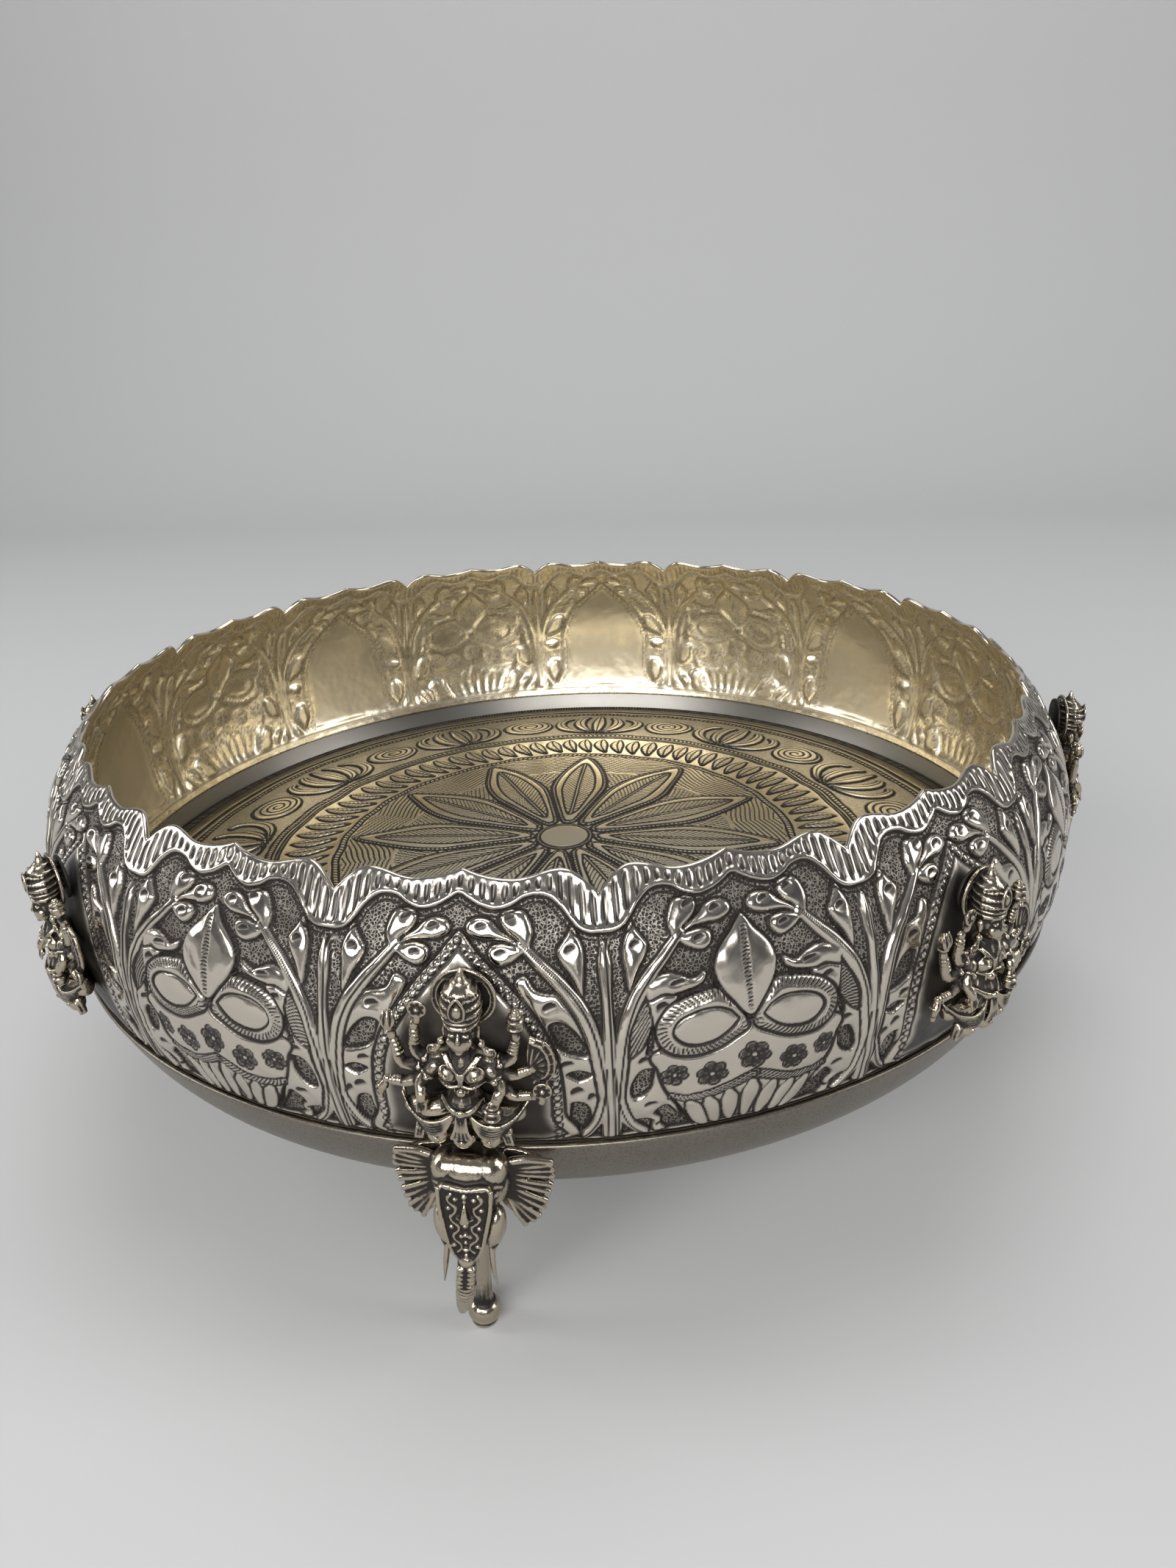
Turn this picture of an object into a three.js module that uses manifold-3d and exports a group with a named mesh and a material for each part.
// A footed ceremonial bowl (urli): an embossed wall with a scalloped rim, a plain pan under it, an engraved
// floor plate, eight soldered castings of a seated goddess and three cast elephant-head feet.
// Millimetres, +Z up. The origin is on the table, under the bowl's axis. The front niche faces -Y.

import * as THREE from 'three'
import { mergeVertices } from 'three/addons/utils/BufferGeometryUtils.js'
import Module from 'manifold-3d'

const wasm = await Module()
wasm.setup()

// Bowl
const BELLY_RADIUS = 127.4 // widest point of the wall
const NOTCH_INSET = 9.4 // belly line to the wall at the rim's notches
const SEAM_INSET = 3.3 // belly line to the wall at the seam with the pan's lip
const TABLE_TO_PAN = 27.5 // table to the pan's flat underside
const PAN_DEPTH = 20.1 // flat underside to the seam
const PAN_FLAT_INSET = 22.4 // belly line to the edge of the flat underside
const BELLY_ABOVE_SEAM = 20.4
const NOTCH_ABOVE_BELLY = 26
const WALL_SHEET = 1.2
const PAN_SHEET = 1
const FLOOR_SHEET = 1
const LAP_DEPTH = 2.2 // how far the wall reaches down inside the pan's lip
const FLOOR_EDGE_BELOW_SEAM = 6.5
const FLOOR_DOME = 5.7 // rise of the floor plate from its edge to its middle

// Scalloped rim
const LOBES = 16 // a count, taken to the nearest whole one
const lobeCount = Math.round(LOBES)
const LOBE_RISE = 4.3 // notch to the lobe's middle point
const SHOULDER_DROP = 0.3 // a lobe's shoulders below its middle point
const DIP_DROP = 1.7 // the dips between the shoulders and the middle point
const SHOULDER_AT = 0.27 // share of a half lobe, from the notch
const DIP_AT = 0.62 // share of a half lobe, from the notch

// Relief on the wall's outside, drawn on one lobe laid flat: across from -1 to 1, and down from 0 at the rim to 1 at
// the wall's lower edge. The matted ground lies under the plain metal of the rim band, stems, arches and seam.
const GROUND_DROP = 0.55
const RIM_BAND = [0.12, 0.24] // lower edge of the plain band under the rim, at a lobe's middle and at a notch
const GROUND_END = 0.92 // where the plain strip over the seam starts
const ARCH_TIP = 0.19 // top of the pointed arch behind a casting
const ARCH_SHOULDER = 0.72 // where the arch reaches its full width
const ARCH_HALF_WIDTH = 0.68
const STEM_HALF_WIDTH = 2.6
const STEMS = [
  [[1, 0.92], [1, 0.3]],
  [[0.95, 0.85], [0.92, 0.62], [0.82, 0.45], [0.62, 0.33], [0.44, 0.24]]
]
const VASE = { middle: [0, 0.74], half: [0.66, 0.19], rise: 0.8 }
const PETALS = { middle: [0.4, 0.54], half: [0.31, 0.12], rise: 0.8 } // one on each side
const BUD = { middle: [0, 0.37], half: [0.22, 0.17], rise: 0.9 }

// Castings of the seated goddess, one on every other lobe
const CASTING_EVERY = 2 // lobes from one casting to the next
const CASTING_HEIGHT = 36.4 // lowest fold of the skirt to the tip of the crown
const CASTING_ABOVE_SEAM = 6.4 // seam to the lowest point of the figure
const CASTING_SEAT = 0.7 // how far the flat back is let in behind the belly line

// Elephant feet, evenly round the bowl from the front casting
const FOOT_COUNT = 3
const HEAD_WIDTH = 29.2 // across the ears
const HEAD_ABOVE_SEAM = 3.4 // seam to the top of the forehead
const HEAD_STANDOFF = 1.6 // belly line to the middle of the head
const FOOT_INSET = 6.4 // belly line to the middle of the ball foot
const BALL_RADIUS = 3.4
const SOLE_RADIUS = 2.3 // flat under the ball foot
const LEG_RADIUS = 2.9
const LEG_SPREAD = 1.6 // added to the leg's radius where it joins the head
const TRUNK_ROOT_RADIUS = 2.9
const TRUNK_TIP_RADIUS = 1.6
const TRUNK_TIP_HEIGHT = 9.5 // over the table
const TRUNK_BOW = 1.6 // how far the trunk bows outward from its line
const SHOULDER_RADII = [4.6, 5, 5.4] // inside the bowl's outline, at the stud's seat, behind the head

// Fixing of each foot: stud, washer and nut
const STUD_RADIUS = 1.5
const STUD_HOLE_RADIUS = 1.9
const STUD_END = 0.8 // stud end past the nut
const STUD_ROOT = 3 // how far the stud reaches into the casting
const DRILL_OVERRUN = 1 // how far the drill runs past the sheet's faces
const WASHER_RADIUS = 3
const WASHER_THICKNESS = 0.6
const NUT_ACROSS_FLATS = 5.5
const NUT_HEIGHT = 2.4
const FIT_GAP = 0.3 // gap between pieces that meet
const THREAD_GAP = 0.25 // stud to the nut and washer bores

// Roundness
const WALL_STEPS_PER_LOBE = 14
const OUTER_ROWS = 11 // steps of the wall's outside, from its lower edge to the rim
const INNER_ROWS = 4
const PAN_STEPS = 60
const FLOOR_STEPS = 36
const FLOOR_RINGS = [0, 0.35, 0.7, 1] // where the floor plate is sampled, from its middle to its edge
const PAN_CURVE = [0, 0.25, 0.5, 0.8, 1] // where the pan's curve is sampled, from lip to flat
const SEAT_FACET = [2, 3] // the two samples of that curve between which a foot's stud stands
const BORE_SIDES = 8
const WASHER_SIDES = 12
const NUT_SIDES = 6
const LIMB_SIDES = 6 // round an elephant's trunk, leg and shoulder
const TRUNK_STEPS = 6
const BALL_STEPS = 5 // rings on a ball foot

const seamHeight = TABLE_TO_PAN + PAN_DEPTH
const bellyHeight = seamHeight + BELLY_ABOVE_SEAM
const notchHeight = bellyHeight + NOTCH_ABOVE_BELLY
const wallBottom = seamHeight - LAP_DEPTH
const footRadius = BELLY_RADIUS - FOOT_INSET

// Materials
const embossedSilver = new THREE.MeshStandardMaterial({ color: 0xb9b8b2, metalness: 1, roughness: 0.22 })
const satinSilver = new THREE.MeshStandardMaterial({ color: 0x9c968a, metalness: 1, roughness: 0.42 })
const engravedSilver = new THREE.MeshStandardMaterial({ color: 0xa89c80, metalness: 1, roughness: 0.34 })
const castSilver = new THREE.MeshStandardMaterial({ color: 0x8f8878, metalness: 1, roughness: 0.3 })
const fastenerSteel = new THREE.MeshStandardMaterial({ color: 0x8d9094, metalness: 1, roughness: 0.4 })

// A closed geometry as a solid: only positions, shared vertices merged, slivers dropped
function solid(geometry) {
  const bare = geometry.clone()
  for (const name of Object.keys(bare.attributes)) {
    if (name !== 'position') bare.deleteAttribute(name)
  }
  const merged = mergeVertices(bare, 1e-4)
  const index = merged.index.array
  const kept = []
  for (let i = 0; i < index.length; i += 3) {
    const [a, b, c] = [index[i], index[i + 1], index[i + 2]]
    if (a !== b && b !== c && c !== a) kept.push(a, b, c)
  }
  return new wasm.Manifold(new wasm.Mesh({
    numProp: 3,
    vertProperties: new Float32Array(merged.attributes.position.array),
    triVerts: new Uint32Array(kept)
  }))
}

function joined(geometries) {
  return geometries.map(solid).reduce((sum, next) => sum.add(next))
}

function geometryOf(manifold) {
  const { vertProperties, triVerts } = manifold.getMesh()
  const geometry = new THREE.BufferGeometry()
  geometry.setAttribute('position', new THREE.BufferAttribute(vertProperties, 3))
  geometry.setIndex(new THREE.BufferAttribute(triVerts, 1))
  geometry.computeVertexNormals()
  return geometry
}

function piece(name, geometry, material) {
  const mesh = new THREE.Mesh(geometry, material)
  mesh.name = name
  return mesh
}

// Turns a profile of [radius, height] points round Z. The first column is at the front, on -Y.
function turned(profile, steps) {
  const points = profile.map(([radius, height]) => new THREE.Vector2(radius, height))
  return new THREE.LatheGeometry(points, steps).rotateX(Math.PI / 2)
}

// The wall's outer radius at a height: one parabola above the belly and one below it
function wallRadius(height) {
  const above = height - bellyHeight
  if (above > 0) return BELLY_RADIUS - NOTCH_INSET * (above / NOTCH_ABOVE_BELLY) ** 2
  return BELLY_RADIUS - SEAM_INSET * (above / BELLY_ABOVE_SEAM) ** 2
}

function wallSlope(height) {
  const above = height - bellyHeight
  if (above > 0) return -2 * NOTCH_INSET * above / NOTCH_ABOVE_BELLY ** 2
  return -2 * SEAM_INSET * above / BELLY_ABOVE_SEAM ** 2
}

// The wall's radius moved square to the sheet by a distance, outward when positive
function wallOffset(height, distance) {
  return wallRadius(height) + distance * Math.hypot(1, wallSlope(height))
}

// Rim height at an angle from the front, where a casting's lobe has its middle
function rimHeight(angle) {
  const turn = angle * lobeCount / (2 * Math.PI) + 0.5
  const along = turn - Math.floor(turn)
  const fromNotch = 2 * Math.min(along, 1 - along)
  const peak = notchHeight + LOBE_RISE
  if (fromNotch < SHOULDER_AT) {
    const climb = Math.sin(Math.PI / 2 * fromNotch / SHOULDER_AT)
    return notchHeight + (LOBE_RISE - SHOULDER_DROP) * climb
  }
  if (fromNotch < DIP_AT) {
    const fall = (1 - Math.cos(Math.PI * (fromNotch - SHOULDER_AT) / (DIP_AT - SHOULDER_AT))) / 2
    return peak - SHOULDER_DROP - (DIP_DROP - SHOULDER_DROP) * fall
  }
  const rise = ((fromNotch - DIP_AT) / (1 - DIP_AT)) ** 2
  return peak - DIP_DROP * (1 - rise)
}

// How far a rounded boss stands out at a place on the lobe, 0 outside it
function bossHeight({ middle, half, rise }, across, down) {
  const reach = ((across - middle[0]) / half[0]) ** 2 + ((down - middle[1]) / half[1]) ** 2
  return rise * Math.sqrt(Math.max(0, 1 - reach))
}

// Share of a stem's height at a place on the lobe, 1 on its middle line
function stemShare(stem, across, down) {
  const halfLobe = Math.PI * BELLY_RADIUS / lobeCount
  const tall = notchHeight - wallBottom
  const spot = new THREE.Vector3(Math.abs(across) * halfLobe, down * tall, 0)
  const nearest = new THREE.Vector3()
  const gaps = stem.slice(1).map((end, i) => {
    const [from, to] = [stem[i], end].map(([u, v]) => new THREE.Vector3(u * halfLobe, v * tall, 0))
    new THREE.Line3(from, to).closestPointToPoint(spot, true, nearest)
    return nearest.distanceTo(spot)
  })
  return Math.max(0, 1 - Math.min(...gaps) / STEM_HALF_WIDTH)
}

function insideArch(across, down) {
  const climb = Math.min(1, (down - ARCH_TIP) / (ARCH_SHOULDER - ARCH_TIP))
  return climb > 0 && Math.abs(across) < ARCH_HALF_WIDTH * (1 - (1 - climb) ** 2)
}

// Relief of the wall's outside at an angle from the front, a share of the way down from the rim
function reliefHeight(angle, down) {
  const turn = angle * lobeCount / (2 * Math.PI) + 0.5
  const across = 2 * (turn - Math.floor(turn)) - 1
  const bandEdge = RIM_BAND[0] + (RIM_BAND[1] - RIM_BAND[0]) * across ** 2
  if (down < bandEdge || down > GROUND_END) return 0
  const stems = Math.max(...STEMS.map((stem) => stemShare(stem, across, down)))
  const ground = -GROUND_DROP * (1 - stems)
  if (Math.floor(turn) % CASTING_EVERY === 0) return insideArch(across, down) ? 0 : ground
  const petals = bossHeight(PETALS, Math.abs(across), down)
  const bosses = Math.max(petals, bossHeight(VASE, across, down), bossHeight(BUD, across, down))
  return bosses > 0 ? bosses : ground
}

// The wall: outer face up, inner face down, closed on itself round the bowl
function wallGeometry() {
  const columns = lobeCount * WALL_STEPS_PER_LOBE
  const rows = OUTER_ROWS + INNER_ROWS + 2
  const positions = []
  const indices = []
  for (let column = 0; column < columns; column++) {
    const angle = 2 * Math.PI * column / columns
    const top = rimHeight(angle)
    for (let row = 0; row < rows; row++) {
      const outside = row <= OUTER_ROWS
      const share = outside ? row / OUTER_ROWS : (rows - 1 - row) / INNER_ROWS
      const height = wallBottom + share * (top - wallBottom)
      const radius = wallOffset(height, outside ? reliefHeight(angle, 1 - share) : -WALL_SHEET)
      positions.push(radius * Math.sin(angle), -radius * Math.cos(angle), height)
      const nextColumn = (column + 1) % columns
      const nextRow = (row + 1) % rows
      const here = column * rows + row
      const above = column * rows + nextRow
      const beside = nextColumn * rows + row
      const across = nextColumn * rows + nextRow
      indices.push(here, beside, across, here, across, above)
    }
  }
  const geometry = new THREE.BufferGeometry()
  geometry.setAttribute('position', new THREE.Float32BufferAttribute(positions, 3))
  geometry.setIndex(indices)
  return geometry
}

// The pan's outer profile under the lip: a curve that leaves the wall's slope and ends flat
const lipFoot = new THREE.Vector2(wallOffset(wallBottom, FIT_GAP + PAN_SHEET), wallBottom)
const panBend = new THREE.Vector2(
  lipFoot.x - (wallBottom - TABLE_TO_PAN) * wallSlope(wallBottom), TABLE_TO_PAN)
const panCurve = new THREE.QuadraticBezierCurve(
  lipFoot, panBend, new THREE.Vector2(BELLY_RADIUS - PAN_FLAT_INSET, TABLE_TO_PAN))

// Points of the pan's curve, moved inward by a distance, as [radius, height]
function panProfile(inward) {
  return PAN_CURVE.map((share) => {
    const point = panCurve.getPoint(share)
    const tangent = panCurve.getTangent(share)
    return [point.x + tangent.y * inward, point.y - tangent.x * inward]
  })
}

const panOutside = panProfile(0)
const panInside = panProfile(PAN_SHEET)

function panGeometry() {
  const lip = [
    [wallOffset(seamHeight, FIT_GAP + PAN_SHEET), seamHeight],
    [wallOffset(seamHeight, FIT_GAP), seamHeight]
  ]
  const profile = [
    [0, TABLE_TO_PAN], ...panOutside.slice().reverse(), ...lip, ...panInside, [0, TABLE_TO_PAN + PAN_SHEET]
  ]
  return turned(profile, PAN_STEPS)
}

// Radius at a height on a profile that goes down and inward
function radiusAt(profile, height) {
  const below = Math.max(1, profile.findIndex((point) => point[1] <= height))
  const [r0, z0] = profile[below - 1]
  const [r1, z1] = profile[below]
  return r0 + (r1 - r0) * (height - z0) / (z1 - z0)
}

// The floor plate: a shallow dome whose edge wedges into the pan's curve
const floorEdge = seamHeight - FLOOR_EDGE_BELOW_SEAM
const floorRadius = radiusAt(panInside, floorEdge - FLOOR_SHEET) - FIT_GAP

function floorGeometry() {
  const top = FLOOR_RINGS.map((share) => [share * floorRadius, floorEdge + FLOOR_DOME * (1 - share ** 2)])
  const underside = top.map(([radius, height]) => [radius, height - FLOOR_SHEET])
  return turned([...underside, ...top.reverse()], FLOOR_STEPS)
}

// Everything that the castings must stay out of: the bowl's outside, grown by the fit gap
function bowlKeepOut() {
  const top = notchHeight + LOBE_RISE
  const overLip = seamHeight + FIT_GAP
  const lip = [wallOffset(overLip, PAN_SHEET + 2 * FIT_GAP), overLip]
  const seatTop = bellyHeight + NOTCH_ABOVE_BELLY / 3
  const heights = [overLip, (overLip + bellyHeight) / 2, bellyHeight, seatTop, top]
  const wall = heights.map((height) => [wallOffset(height, FIT_GAP), height])
  const profile = [[0, TABLE_TO_PAN - FIT_GAP], ...panProfile(-FIT_GAP).reverse(), lip, ...wall, [0, top]]
  const corner = 1 / Math.cos(Math.PI / PAN_STEPS) // the flats of the turned form stay outside the gap
  return solid(turned(profile.map(([radius, height]) => [radius * corner, height]), PAN_STEPS))
}

// A rounded form by its middle and half sizes
function ball(middle, half, detail = 1) {
  return new THREE.OctahedronGeometry(1, detail).scale(...half).translate(...middle)
}

// A tapered tube through points, with a radius at each one. The side vector is square to the path.
function tube(points, radii, side, sides = 4) {
  const path = points.map((point) => new THREE.Vector3(...point))
  const positions = []
  const indices = []
  path.forEach((point, i) => {
    const before = path[Math.max(i - 1, 0)]
    const after = path[Math.min(i + 1, path.length - 1)]
    const along = after.clone().sub(before).normalize()
    const u = new THREE.Vector3(...side)
    u.addScaledVector(along, -u.dot(along)).normalize()
    const v = along.clone().cross(u)
    for (let k = 0; k < sides; k++) {
      const angle = 2 * Math.PI * k / sides
      const rim = point.clone().addScaledVector(u, radii[i] * Math.cos(angle))
      rim.addScaledVector(v, radii[i] * Math.sin(angle))
      positions.push(rim.x, rim.y, rim.z)
    }
  })
  for (let i = 0; i + 1 < path.length; i++) {
    for (let k = 0; k < sides; k++) {
      const a = i * sides + k
      const b = i * sides + (k + 1) % sides
      indices.push(a, b, b + sides, a, b + sides, a + sides)
    }
  }
  const last = (path.length - 1) * sides
  for (let k = 1; k + 1 < sides; k++) {
    indices.push(0, k + 1, k, last, last + k, last + k + 1)
  }
  const geometry = new THREE.BufferGeometry()
  geometry.setAttribute('position', new THREE.Float32BufferAttribute(positions, 3))
  geometry.setIndex(indices)
  return geometry
}

// A flat plate with its outline in X and Z, its back at -back and its thickness toward -Y
function plate(outline, back, thickness) {
  const shape = new THREE.Shape(outline.map(([x, z]) => new THREE.Vector2(x, z)))
  const geometry = new THREE.ExtrudeGeometry(shape, { depth: thickness, bevelEnabled: false })
  return geometry.rotateX(Math.PI / 2).translate(0, -back, 0)
}

function mirrored(list) {
  return list.map(([x, z]) => [-x, z])
}

// Overall size of several forms along an axis
function extent(forms, axis) {
  const box = new THREE.Box3()
  for (const form of forms) {
    form.computeBoundingBox()
    box.union(form.boundingBox)
  }
  return box.max[axis] - box.min[axis]
}

// The seated goddess, in the casting's own place: X to the right as seen from outside, -Y outward from the
// flat back, Z up from the lowest fold of the skirt, all in squares of the layout's own grid
function goddessForms() {
  const front = [1, 0, 0]
  const across = [0, 1, 0]
  const armDepth = 3.2
  const forms = [
    ball([0, -3.8, 6], [11, 3.6, 4.2]), // folded legs under their swags of cloth
    new THREE.CylinderGeometry(7.6, 6, 5, 8).scale(1, 1, 0.42).rotateX(Math.PI / 2).translate(0, -3.2, 2.9),
    tube([[0, -4.6, 10], [0, -5.8, 5], [0, -4, 0]], [1.8, 2.8, 2.4], front, 5), // middle pleats
    tube([[0, -3.8, 8], [0, -3.8, 12.6], [0, -3.9, 17], [0, -3.8, 19.8]], [3.9, 3.1, 4.9, 2.6], front, 6),
    ball([0, -5.4, 23.4], [3, 3.2, 3.8]), // head
    tube([[0, -5, 25.4], [0, -4.8, 30], [0, -4.4, 35.6]], [3.3, 2.7, 0.6], front, 6), // crown
    new THREE.CylinderGeometry(5.6, 5.6, 3.2, 8).translate(0, -2.2, 28) // halo
  ]
  const arms = [
    [[-4.4, 18], [-7.6, 21.5], [-6.8, 28]],
    [[-4.4, 18], [-10.2, 19.4], [-11.8, 25.6]],
    [[-4.4, 17.4], [-8.6, 16], [-12.8, 14.8]],
    [[-4.4, 17.4], [-7.4, 13], [-7, 7]],
    [[4.4, 18], [8.2, 21], [8.8, 27]],
    [[4.4, 17.6], [9, 17.6], [13, 20.4]],
    [[4.4, 17.4], [8.6, 15.4], [12.4, 13]],
    [[4.4, 17.4], [6.8, 13], [6.4, 7]]
  ]
  for (const joints of arms) {
    forms.push(tube(joints.map(([x, z]) => [x, -armDepth, z]), [1.7, 1.5, 1.2], across))
    const [x, z] = joints[2]
    const held = z > 10 // the lowest hands rest on the legs
    if (held) forms.push(ball([x, -armDepth, z], [2.6, 2, 2.8], 0))
  }
  return forms
}

function castingSolid(keepOut) {
  const base = seamHeight + CASTING_ABOVE_SEAM
  const back = BELLY_RADIUS - CASTING_SEAT
  const layout = goddessForms()
  const square = CASTING_HEIGHT / extent(layout, 'z')
  const forms = layout.map((form) => form.scale(square, square, square).translate(0, -back, base))
  return joined(forms).subtract(keepOut)
}

// Where a foot's stud stands on the pan: the middle of the seat facet and the way into the cavity
const [seatUpper, seatLower] = SEAT_FACET.map((k) => new THREE.Vector2(...panOutside[k]))
const seatMiddle = seatUpper.clone().add(seatLower).multiplyScalar(0.5)
const seatAlong = seatLower.clone().sub(seatUpper).normalize()
const seatInward = new THREE.Vector2(seatAlong.y, -seatAlong.x)

// A point on the stud's axis at a distance inward from the pan's outside
function studPoint(inward) {
  return new THREE.Vector3(0, -(seatMiddle.x + seatInward.x * inward), seatMiddle.y + seatInward.y * inward)
}

const washerAt = PAN_SHEET + FIT_GAP
const nutAt = washerAt + WASHER_THICKNESS + FIT_GAP
const studLength = nutAt + NUT_HEIGHT + STUD_END

function studTube(radius, from, to) {
  const ends = [studPoint(from), studPoint(to)].map((point) => point.toArray())
  return tube(ends, [radius, radius], [1, 0, 0], BORE_SIDES)
}

// The elephant's head, facing -Y, from the forehead's top and the skull's middle, in squares of its grid
function headForms() {
  const front = [1, 0, 0]
  const ear = [[5, -1.4], [9, -2.2], [14.4, -5.4], [14.6, -9], [13.4, -15], [11.6, -19.4], [8, -16], [5, -13]]
  const mask = [[-4.7, -4.6], [4.7, -4.6], [4.4, -9], [2.7, -16], [0, -17.6], [-2.7, -16], [-4.4, -9]]
  const forms = [
    ball([0, 0, -8], [6.6, 5.6, 7.4], 2), // skull
    plate(ear, -3, 1.8),
    plate(mirrored(ear), -3, 1.8),
    plate(mask, 3, 5.2), // face plate
    tube([[0, 4, -14], [0, 0, -14], [0, -4.6, -13]], [4, 3.6, 2.9], front, LIMB_SIDES) // jaw
  ]
  for (const side of [-1, 1]) {
    forms.push(ball([side * 3.4, -0.4, -3.2], [3.4, 3.6, 3.2])) // forehead dome
    forms.push(ball([side * 5.4, -2.4, -15], [2.4, 3, 4.4])) // cheek
    const tusk = [[side * 4, -4.4, -15], [side * 5.2, -4.4, -21], [side * 6.3, -4.4, -27.5]]
    forms.push(tube(tusk, [1.4, 1.1, 0.4], [0, 1, 0]))
  }
  return forms
}

// The whole foot at the front of the bowl: the head, its trunk and leg down towards the table, and the
// shoulder that carries the bowl at the stud
function elephantForms() {
  const front = [1, 0, 0]
  const top = seamHeight + HEAD_ABOVE_SEAM
  const reach = BELLY_RADIUS + HEAD_STANDOFF
  const layout = headForms()
  const square = HEAD_WIDTH / extent(layout, 'x')
  const forms = layout.map((form) => form.scale(square, square, square).translate(0, -reach, top))
  const trunkTop = top - 13 * square
  const trunkRoot = reach + 4.6 * square
  const trunkTipReach = footRadius + BALL_RADIUS + LEG_RADIUS
  const trunk = []
  const trunkRadii = []
  for (let i = 0; i <= TRUNK_STEPS; i++) {
    const share = i / TRUNK_STEPS
    const line = trunkRoot + (trunkTipReach - trunkRoot) * share ** 2
    const bow = TRUNK_BOW * Math.sin(Math.PI * share)
    trunk.push([0, -line - bow, trunkTop + (TRUNK_TIP_HEIGHT - trunkTop) * share])
    trunkRadii.push(TRUNK_ROOT_RADIUS + (TRUNK_TIP_RADIUS - TRUNK_ROOT_RADIUS) * share)
  }
  forms.push(tube(trunk, trunkRadii, front, LIMB_SIDES))
  const legTop = top - 14 * square
  const ankle = BALL_RADIUS + 3 * LEG_RADIUS
  forms.push(tube(
    [[0, -reach + 4 * square, legTop], [0, -footRadius - 1, ankle], [0, -footRadius, BALL_RADIUS]],
    [LEG_RADIUS + LEG_SPREAD, LEG_RADIUS, LEG_RADIUS], front, LIMB_SIDES))
  const [inside, outside] = [studPoint(STUD_ROOT), studPoint(-STUD_ROOT)].map((point) => point.toArray())
  const behindHead = [0, -reach + 2 * square, legTop + square]
  forms.push(tube([inside, outside, behindHead], SHOULDER_RADII, front, LIMB_SIDES))
  return forms
}

// The ball foot, cut flat where it stands on the table
function ballFoot() {
  const rise = Math.sqrt(BALL_RADIUS ** 2 - SOLE_RADIUS ** 2)
  const profile = [[0, 0], [SOLE_RADIUS, 0]]
  const start = Math.atan2(-rise, SOLE_RADIUS)
  for (let i = 1; i <= BALL_STEPS; i++) {
    const angle = start + (Math.PI / 2 - start) * i / BALL_STEPS
    profile.push([i < BALL_STEPS ? BALL_RADIUS * Math.cos(angle) : 0, rise + BALL_RADIUS * Math.sin(angle)])
  }
  return turned(profile, BORE_SIDES).translate(0, -footRadius, 0)
}

function footSolid(keepOut) {
  const head = joined([...elephantForms(), ballFoot()]).subtract(keepOut)
  return head.add(solid(studTube(STUD_RADIUS, -STUD_ROOT, studLength)))
}

// A ring with a bore, standing on local Z = 0
function ring(outerRadius, outerSides, boreRadius, height) {
  const outline = new THREE.Shape()
  for (let k = 0; k < outerSides; k++) {
    const angle = 2 * Math.PI * (k + 0.5) / outerSides
    const [x, y] = [outerRadius * Math.cos(angle), outerRadius * Math.sin(angle)]
    if (k === 0) outline.moveTo(x, y)
    else outline.lineTo(x, y)
  }
  outline.closePath()
  const bore = new THREE.Path()
  bore.absarc(0, 0, boreRadius, 0, 2 * Math.PI, true)
  outline.holes.push(bore)
  const extrusion = { depth: height, bevelEnabled: false, curveSegments: BORE_SIDES }
  return new THREE.ExtrudeGeometry(outline, extrusion)
}

const model = new THREE.Group()
model.add(piece('wall_band', wallGeometry(), embossedSilver))

const footAngles = Array.from({ length: FOOT_COUNT }, (_, k) => 2 * Math.PI * k / FOOT_COUNT)
const holes = footAngles.map((angle) => {
  const drill = studTube(STUD_HOLE_RADIUS, -DRILL_OVERRUN, PAN_SHEET + DRILL_OVERRUN).rotateZ(angle)
  return solid(drill)
})
const drilledPan = holes.reduce((pan, hole) => pan.subtract(hole), solid(panGeometry()))
model.add(piece('base_pan', geometryOf(drilledPan), satinSilver))
model.add(piece('floor_plate', floorGeometry(), engravedSilver))

const keepOut = bowlKeepOut()
const castingGeometry = geometryOf(castingSolid(keepOut))
const castingCount = Math.floor(lobeCount / CASTING_EVERY)
for (let k = 0; k < castingCount; k++) {
  const casting = piece(`goddess_casting_${k + 1}`, castingGeometry, castSilver)
  casting.rotation.z = 2 * Math.PI * CASTING_EVERY * k / lobeCount
  model.add(casting)
}

const footGeometry = geometryOf(footSolid(keepOut))
const nutRadius = NUT_ACROSS_FLATS / 2 / Math.cos(Math.PI / NUT_SIDES)
const inwardAxis = new THREE.Vector3(0, -seatInward.x, seatInward.y)
footAngles.forEach((angle, k) => {
  const station = new THREE.Group()
  station.rotation.z = angle
  station.add(piece(`elephant_foot_${k + 1}`, footGeometry, castSilver))
  const fixings = new THREE.Group()
  fixings.quaternion.setFromUnitVectors(new THREE.Vector3(0, 0, 1), inwardAxis)
  fixings.position.copy(studPoint(0))
  const bore = STUD_RADIUS + THREAD_GAP
  const washerRing = ring(WASHER_RADIUS, WASHER_SIDES, bore, WASHER_THICKNESS)
  const washer = piece(`foot_washer_${k + 1}`, washerRing, fastenerSteel)
  washer.position.z = washerAt
  const nutRing = ring(nutRadius, NUT_SIDES, bore, NUT_HEIGHT)
  const nut = piece(`foot_nut_${k + 1}`, nutRing, fastenerSteel)
  nut.position.z = nutAt
  fixings.add(washer, nut)
  station.add(fixings)
  model.add(station)
})

export default model
